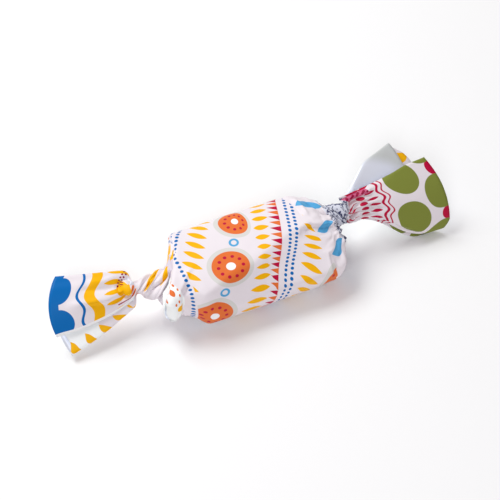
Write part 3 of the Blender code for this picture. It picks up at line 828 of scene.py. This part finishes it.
def body_print(u, v, ground):
    """Slanted rows: ringed orange discs with beads and a white eye, sky blue rings between
    them, gold dashes on both sides, two lines of fine blue beads and a line of pennants."""
    def row(start, pitch, shift=0.0):
        return use_group(rows, u=u, v=v, lean=LEAN, start=start, spacing=ROW_REPEAT,
                         pitch=pitch, shift=shift)

    discs = row(2.0, DISC_PITCH, 5.0)
    result = inked(ground, PALE_GREY, mark(disc, discs, radius=5.5))
    result = inked(result, ORANGE, mark(disc, discs, radius=4.4))
    result = inked(result, CRIMSON, mark(bead_ring, discs))
    result = inked(result, WHITE_PAPER, mark(disc, discs, radius=1.1))
    rings = row(2.0, DISC_PITCH, 5.0 + 0.5 * DISC_PITCH)
    hollow = minus(mark(disc, rings, radius=1.2), mark(disc, rings, radius=0.65))
    result = inked(result, SKY, hollow)
    for start, skew, shift in ((10.7, 0.35, 0.0), (-6.7, -0.35, 1.6)):
        dashes = mark(dash, row(start, 3.1, shift), half_length=2.5, half_width=0.85, skew=skew)
        result = inked(result, GOLD, dashes)
    for start, shift in ((15.1, 0.0), (16.7, 0.6)):
        result = inked(result, BLUE, mark(disc, row(start, 1.25, shift), radius=0.42))
    for shift, ink in ((0.0, CRIMSON), (1.9, ORANGE)):
        flags = mark(pennant, row(18.8, 3.8, shift), height=2.9, half_width=0.9)
        result = inked(result, ink, flags)
    return result


ALONE = 200.0  # a spacing so wide that the sheet holds only one


def border_row(u, v, place, pitch, shift=0.0):
    """A single row across the sheet at a place along it. With u and v exchanged it runs along
    the sheet at a place across it."""
    return use_group(rows, u=v, v=u, start=place, spacing=ALONE, pitch=pitch, shift=shift)


def row_of(ground, ink, group, u, v, place, pitch, shift=0.0, **sizes):
    """A row of one kind of mark across the sheet, inked over the ground."""
    return inked(ground, ink, mark(group, border_row(u, v, place, pitch, shift), **sizes))


def single(u, v, place, middle, along=1.0, across=1.0):
    """Where a single mark stands, at a place along the sheet and a middle across it. A factor
    above 1 squeezes the mark, seen along its row or across it, and one below 1 stretches it."""
    line = border_row(u, v, place, ALONE, middle)
    return {"Along": times(line["Along"], along), "Across": times(line["Across"], across)}


def left_fan_print(u, v, ground):
    """From the hem inwards: blue scallops and a waved line, a gold waved band, gold dashes and
    orange discs. The layer behind has gold dashes alone, on a white near its hem that is
    brighter than the paper, a painted highlight."""
    result = inked(ground, BLUE, below(u, 2.4))
    result = row_of(result, BLUE, disc, u, v, 2.2, 7.4, 3.0, radius=3.1)
    result = row_of(result, BLUE, band, u, v, 7.6, 7.4, 3.0, wavelength=7.4, height=0.7, half_width=0.35)
    result = row_of(result, GOLD, band, u, v, 10.8, 9.25, 1.0, wavelength=9.25, height=0.8,
                    half_width=1.35)
    result = row_of(result, GOLD, dash, u, v, 16.2, 3.5, half_length=2.6, half_width=0.9)
    result = row_of(result, ORANGE, disc, u, v, 20.6, 3.5, 1.75, radius=0.8)

    # painted highlight: the layer behind is whitened near its hem
    behind = inked(ground, BLUISH_PAINTED_HIGHLIGHT, below(u, 9.0))
    behind = row_of(behind, GOLD, dash, v, u, 35.6, 4.4, 1.2, half_length=2.5, half_width=1.05,
                    skew=-0.5)
    return inked(result, behind, times(between(v, 28.0, 43.0), below(u, 18.0)))


def fan_root_print(u, v, ground):
    """The loop of paper on the left fan's root: a gold disc on its front, two lines of fine
    wine red dots above it and a wine red line below."""
    front = single(u, v, 18.5, 7.2, along=0.55)
    result = inked(ground, GOLD, mark(disc, front, radius=1.8))
    for place, shift in ((17.2, 0.0), (17.9, 0.5)):
        dots = mark(disc, border_row(u, v, place, 1.0, shift), radius=0.26)
        result = inked(result, WINE, times(dots, between(v, 8.5, 15.0)))
    seam = times(between(u, 16.0, 21.0), between(v, 1.6, 2.0))
    return inked(result, WINE, seam)


# painted shade: a lilac that darkens the pushed-in end face of the left end
LILAC_PAINTED_SHADE = colour(216, 207, 221)


def left_gather_print(u, v, ground):
    """The gathered left end: a lilac band of painted shade, three broad gold leaves and a row of gold
    dashes.
    The dog-ear's flap is white with a bluish painted highlight, and has an orange disc in a ring
    of beads and a gold disc."""
    # painted shade over the end face, between the dog-ear and the twist
    result = inked(ground, LILAC_PAINTED_SHADE, between(u, 28.8, 33.4))
    for place, middle, half_length, half_width in (
            (28.2, 40.0, 1.8, 2.4), (26.0, 56.5, 3.4, 4.4), (33.0, 46.0, 2.8, 3.4)):
        leaf = mark(dash, single(u, v, place, middle), half_length=half_length,
                    half_width=half_width)
        result = inked(result, GOLD, leaf)
    line = border_row(u, v, 34.0, 3.6, 1.0)
    dashes = mark(dash, line, half_length=2.3, half_width=1.1, skew=0.3)
    result = inked(result, GOLD, times(dashes, above(v, 36.5)))
    # the flap's white is paper whitened further, bluish, as a painted highlight
    for place, middle, squeeze, radius, ink in (
            (31.6, 21.0, 2.3, 8.8, BLUISH_PAINTED_HIGHLIGHT), (33.1, 25.6, 2.4, 0.95, ORANGE),
            (34.0, 20.4, 1.4, 1.2, GOLD)):
        spot = single(u, v, place, middle, across=squeeze)
        result = inked(result, ink, mark(disc, spot, radius=radius))
    beads = mark(bead_ring, single(u, v, 33.0, 25.4, across=2.0))
    return inked(result, ORANGE, beads)


LEFT_BORDER = 37.0  # place of the bead line between the left border and the rows


def left_print(u, v, ground):
    """The left end's border: the fan, its root and the dog-ear, and a line of blue beads where
    the slanted rows begin."""
    result = left_fan_print(u, v, ground)
    result = fan_root_print(u, v, result)
    result = left_gather_print(u, v, result)
    return row_of(result, BLUE, disc, u, v, LEFT_BORDER, 1.4, radius=0.42)


NAVY = colour(66, 70, 104)
COOL_GREY = colour(214, 216, 228)
CRUSH_ALONG, CRUSH_ACROSS = 2.4, 5.0  # range of the random shifts of the crushed neck's ticks


def noise_at(place, scale, detail):
    """The outputs of a noise texture at a place."""
    node = place.id_data.nodes.new("ShaderNodeTexNoise")
    fill(node, {"Vector": place, "Scale": scale, "Detail": detail})
    return node.outputs


def crushed_print(u, v, bent, ground):
    """The right neck: a cool grey band with two series of fine dark ticks, shifted at random by
    a noise, as on paper that is crushed into small folds."""
    tree = u.id_data
    result = inked(ground, COOL_GREY, between(bent, 80.6, 86.6))
    place = tree.nodes.new("ShaderNodeCombineXYZ")
    fill(place, {"X": u, "Y": v})
    shifts = tree.nodes.new("ShaderNodeSeparateColor")
    connect(noise_at(place.outputs["Vector"], 1.1, 2.0)["Color"], shifts.inputs["Color"])
    crushed_u = maths("MULTIPLY_ADD", shifts.outputs["Red"], CRUSH_ALONG,
                      minus(bent, 0.5 * CRUSH_ALONG))
    crushed_v = maths("MULTIPLY_ADD", shifts.outputs["Green"], CRUSH_ACROSS,
                      minus(v, 0.5 * CRUSH_ACROSS))
    for lean, start, pitch in ((0.10, 81.3, 1.7), (-0.07, 82.0, 2.3)):
        line = use_group(rows, u=crushed_v, v=crushed_u, lean=lean, start=start, spacing=0.8,
                         pitch=pitch)
        ticks = mark(dash, line, half_length=0.27, half_width=0.5)
        result = inked(result, NAVY, times(ticks, between(crushed_u, 80.8, 86.8)))
    return result


ROSE = colour(206, 96, 134)
OLIVE = colour(130, 139, 60)
ROUND_PITCH = 10.6  # of the olive rounds, across the sheet


def right_fan_print(u, v, bent, ground):
    """From the root outwards: crimson pennants, discs, dashes and two waved lines, then large
    olive rounds with crimson half discs at the hem. The rolled edge at the root is rose with
    wine red strokes, and the layer behind has gold dashes in place of the rounds."""
    result = row_of(ground, CRIMSON, pennant, bent, v, 87.2, 2.9, height=3.4, half_width=1.1)
    result = row_of(result, CRIMSON, disc, u, v, 92.0, 3.1, radius=0.95)
    result = row_of(result, CRIMSON, dash, u, v, 94.6, 3.1, 1.55, half_length=1.5, half_width=0.62,
                    skew=0.3)
    for place, half_width in ((97.0, 0.34), (98.3, 0.2)):
        result = row_of(result, CRIMSON, band, u, v, place, 5.2, wavelength=5.2, height=0.5,
                        half_width=half_width)
    rolled = times(between(u, 89.6, 94.8), between(v, 66.7, 69.2))
    result = inked(result, ROSE, rolled)
    line = border_row(v, u, 68.0, 1.3)
    strokes = mark(dash, line, half_length=1.7, half_width=0.42, skew=0.9)
    result = inked(result, WINE, times(strokes, rolled))

    front = row_of(result, CRIMSON, disc, u, v, SHEET_LENGTH, ROUND_PITCH, 4.0, radius=1.7)
    for place, shift, radius in ((103.8, 4.0, 4.25), (111.6, 9.3, 3.9)):
        front = row_of(front, OLIVE, disc, u, v, place, ROUND_PITCH, shift, radius=radius)
    behind = row_of(result, GOLD, dash, u, v, 110.6, 4.6, 3.4, half_length=2.6, half_width=1.5)
    return inked(front, behind, between(v, 12.0, 26.0))


RIGHT_BORDER = 74.2  # where the rows end and the right border starts


def right_print(u, v, ground):
    """The right end's border: sky blue dashes, the crushed neck and the fan. The neck's print
    bends outwards at the sheet's upper edge, as the crumpled ring there does."""
    result = row_of(ground, SKY, dash, u, v, 77.6, 9.0, 2.6, half_length=2.9, half_width=1.7)
    bent = minus(u, eased(v, BEND_START, SHEET_WIDTH, BEND))
    result = crushed_print(u, v, bent, result)
    return right_fan_print(u, v, bent, result)


def add_shader(name):
    """A new material's node tree and its Principled shader."""
    material = bpy.data.materials.new(name)
    material.use_nodes = True
    return material, material.node_tree, material.node_tree.nodes["Principled BSDF"]


def paper_coordinates(tree):
    """u and v in millimetres, from the sheet's own UV map."""
    paper = tree.nodes.new("ShaderNodeUVMap")
    paper.uv_map = "paper"
    split = tree.nodes.new("ShaderNodeSeparateXYZ")
    tree.links.new(paper.outputs["UV"], split.inputs["Vector"])
    return times(split.outputs["X"], SHEET_LENGTH), times(split.outputs["Y"], SHEET_LENGTH)


WRINKLE_HEIGHT = 0.0002


def paper_bump(tree, coarse, fine):
    """A normal for fine wrinkles in the paper: two noises on the object's own coordinates."""
    place = tree.nodes.new("ShaderNodeTexCoord").outputs["Object"]
    below_it = {}
    for scale, strength in ((420.0, coarse), (1600.0, fine)):
        node = tree.nodes.new("ShaderNodeBump")
        fill(node, {"Strength": strength, "Distance": WRINKLE_HEIGHT,
                    "Height": noise_at(place, scale, 3.0)["Fac"], **below_it})
        below_it = {"Normal": node.outputs["Normal"]}
    return node.outputs["Normal"]


MARGIN = 0.7  # unprinted paper along the sheet's lower edge

printed, tree, shader = add_shader("printed_paper")
u_mm, v_mm = paper_coordinates(tree)
printed_part = maths("MAXIMUM", above(v_mm, MARGIN), above(u_mm, RIGHT_BORDER))
ground = inked(WHITE_PAPER, LILAC_GROUND, printed_part)
looks = body_print(u_mm, v_mm, ground)
left_part = below(u_mm, LEFT_BORDER + 0.8)
looks = inked(looks, left_print(u_mm, v_mm, ground), left_part)
right_part = above(u_mm, RIGHT_BORDER)
looks = inked(looks, right_print(u_mm, v_mm, ground), right_part)
looks = inked(WHITE_PAPER, looks, printed_part)
fill(shader, {"Base Color": looks, "Normal": paper_bump(tree, 0.10, 0.05),
              "Roughness": 0.45, "Specular IOR Level": 0.14})
wrapper.data.materials.append(printed)

# ---------------------------------------------------------------- the metallised inside
# The paper's inside is a thin metallised film with a dull shine. Its tint is a painted reflection:
# faintly lilac, and greyer at the tip of the right fan's tall layer. It is the second material,
# which the wall's inner side takes.

LILAC_FILM_REFLECTION = colour(240, 244, 255)
GREY_FILM_REFLECTION = colour(214, 218, 217)
FILM_SLANT = -1.2  # the painted reflection's change of tint lies slantwise: it follows u plus this times v
REFLECTION_START, REFLECTION_END = 68.0, 74.0

silver, tree, shader = add_shader("metallised_inside")
u_mm, v_mm = paper_coordinates(tree)
slanted_place = maths("MULTIPLY_ADD", v_mm, FILM_SLANT, u_mm)
# painted reflection: the film's colour turns from lilac to grey along the slant
film = inked(LILAC_FILM_REFLECTION, GREY_FILM_REFLECTION, eased(slanted_place, REFLECTION_START, REFLECTION_END))
fill(shader, {"Base Color": film, "Normal": paper_bump(tree, 0.12, 0.06),
              "Metallic": 0.2, "Roughness": 0.4})
wrapper.data.materials.append(silver)

# ---------------------------------------------------------------- floor, light and camera
# A plain near-white table top under a large soft light from behind on the left, a smaller and
# cooler one from the front left, and an even faint fill, seen slantwise from above.

FLOOR_HALF = 3.0
corners = [(x * FLOOR_HALF, y * FLOOR_HALF, 0.0) for x, y in ((-1, -1), (1, -1), (1, 1), (-1, 1))]
floor_mesh = bpy.data.meshes.new("floor")
floor_mesh.from_pydata(corners, [], [(0, 1, 2, 3)])
floor = add_object("floor", floor_mesh)
floor_paint, tree, shader = add_shader("floor_paint")
fill(shader, {"Base Color": (0.96, 0.96, 0.96, 1.0), "Roughness": 0.7, "Specular IOR Level": 0.1})
floor_mesh.materials.append(floor_paint)

world = bpy.data.worlds.new("studio")
scene.world = world
world.use_nodes = True
fill(world.node_tree.nodes["Background"], {"Color": (1.0, 0.93, 0.955, 1.0), "Strength": 0.40})


def soft_light(name, place, size, power, tint):
    """A square area light at a place in metres, aimed at the sweet."""
    lamp = bpy.data.lights.new(name, "AREA")
    lamp.size = size
    lamp.energy = power
    lamp.color = tint
    holder = add_object(name, lamp)
    holder.location = place
    holder.rotation_euler = (-Vector(place)).to_track_quat("-Z", "Y").to_euler()


soft_light("key", (-0.15, 0.28, 0.46), 0.30, 2.15, (0.97, 1.0, 0.99))
soft_light("cool_side", (-0.20, -0.38, 0.42), 0.20, 0.85, (0.94, 0.97, 1.0))

ELEVATION, AZIMUTH = np.radians(52.0), np.radians(-23.0)
DISTANCE = 0.520
FRAME_PIXELS, SENSOR = 500.0, 36.0
PIXELS_PER_METRE = 4162.0  # scale of the photograph at the bar's middle
BAR_PIXEL = (259.3, 255.2)  # where the bar's middle falls in the picture
back = Vector((np.sin(AZIMUTH) * np.cos(ELEVATION), -np.cos(AZIMUTH) * np.cos(ELEVATION),
               np.sin(ELEVATION)))
right = Vector((np.cos(AZIMUTH), np.sin(AZIMUTH), 0.0))
up = back.cross(right)
target = (Vector((0.0, 0.0, BAR_HALF_HEIGHT * MM))
          - right * (BAR_PIXEL[0] - FRAME_PIXELS / 2) / PIXELS_PER_METRE
          + up * (BAR_PIXEL[1] - FRAME_PIXELS / 2) / PIXELS_PER_METRE)
camera = add_object("camera", bpy.data.cameras.new("camera"))
camera.data.sensor_width = SENSOR
camera.data.lens = DISTANCE * PIXELS_PER_METRE * SENSOR / FRAME_PIXELS
camera.data.clip_start = 0.01
turned = Matrix((right, up, back)).transposed().to_4x4()
camera.matrix_world = Matrix.Translation(target + back * DISTANCE) @ turned
scene.camera = camera
scene.view_settings.view_transform = "Standard"
